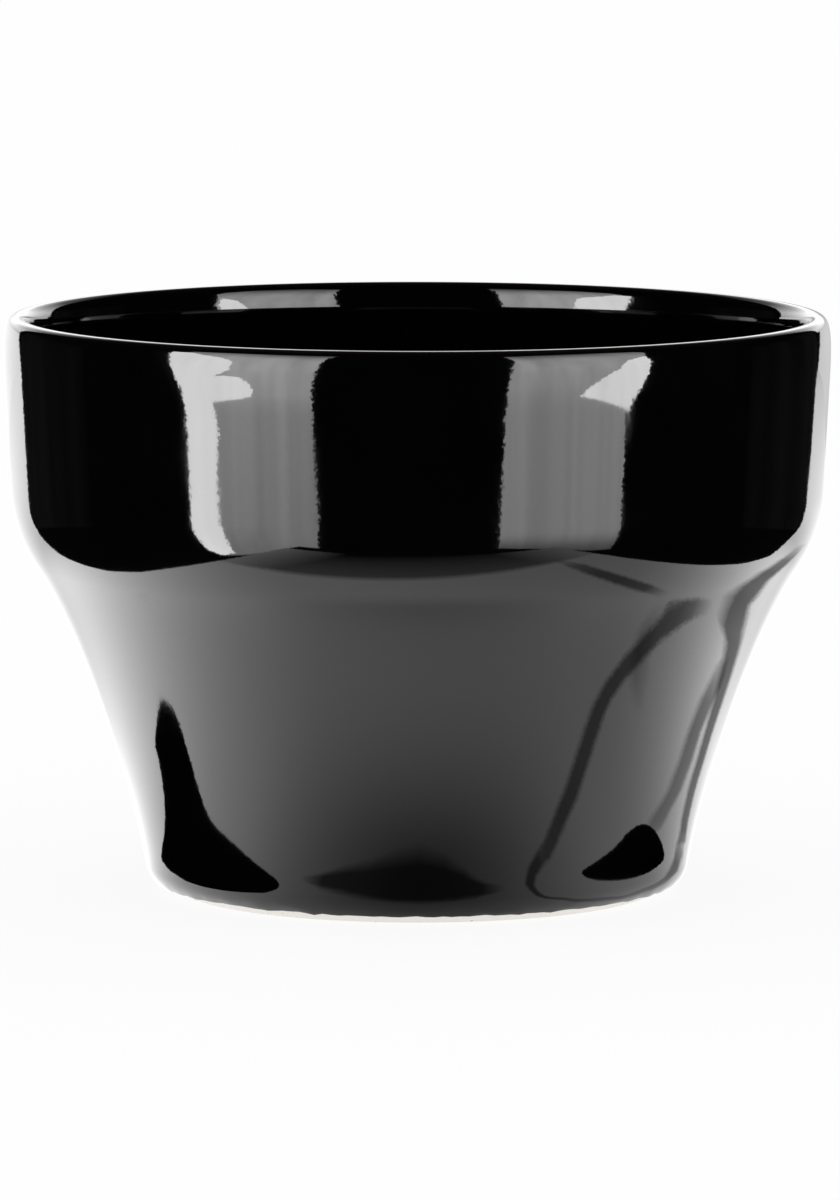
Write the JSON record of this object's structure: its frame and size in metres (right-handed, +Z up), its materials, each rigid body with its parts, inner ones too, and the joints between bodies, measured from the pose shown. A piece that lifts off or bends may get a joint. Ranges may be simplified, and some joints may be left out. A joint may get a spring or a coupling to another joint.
{
  "type": "cupping bowl",
  "caption": "Round tasting bowl with an upright band under the rim, a soft shoulder and a wall that narrows to a bare foot ring, in black gloss glaze.",
  "frame": {"origin": "centre of the foot ring's underside, on the surface that the bowl stands on", "axes": "+Z up along the axis that the bowl is turned about; X and Y are free, because the bowl is round"},
  "size_m": [0.09, 0.09, 0.0628],
  "materials": {
    "fired_clay": "matte",
    "black_glaze": "gloss"
  },
  "bodies": {
    "root": {"clay_body": "fired_clay", "glaze_coat": "black_glaze", "base_glaze": "black_glaze"}
  },
  "joints": []
}
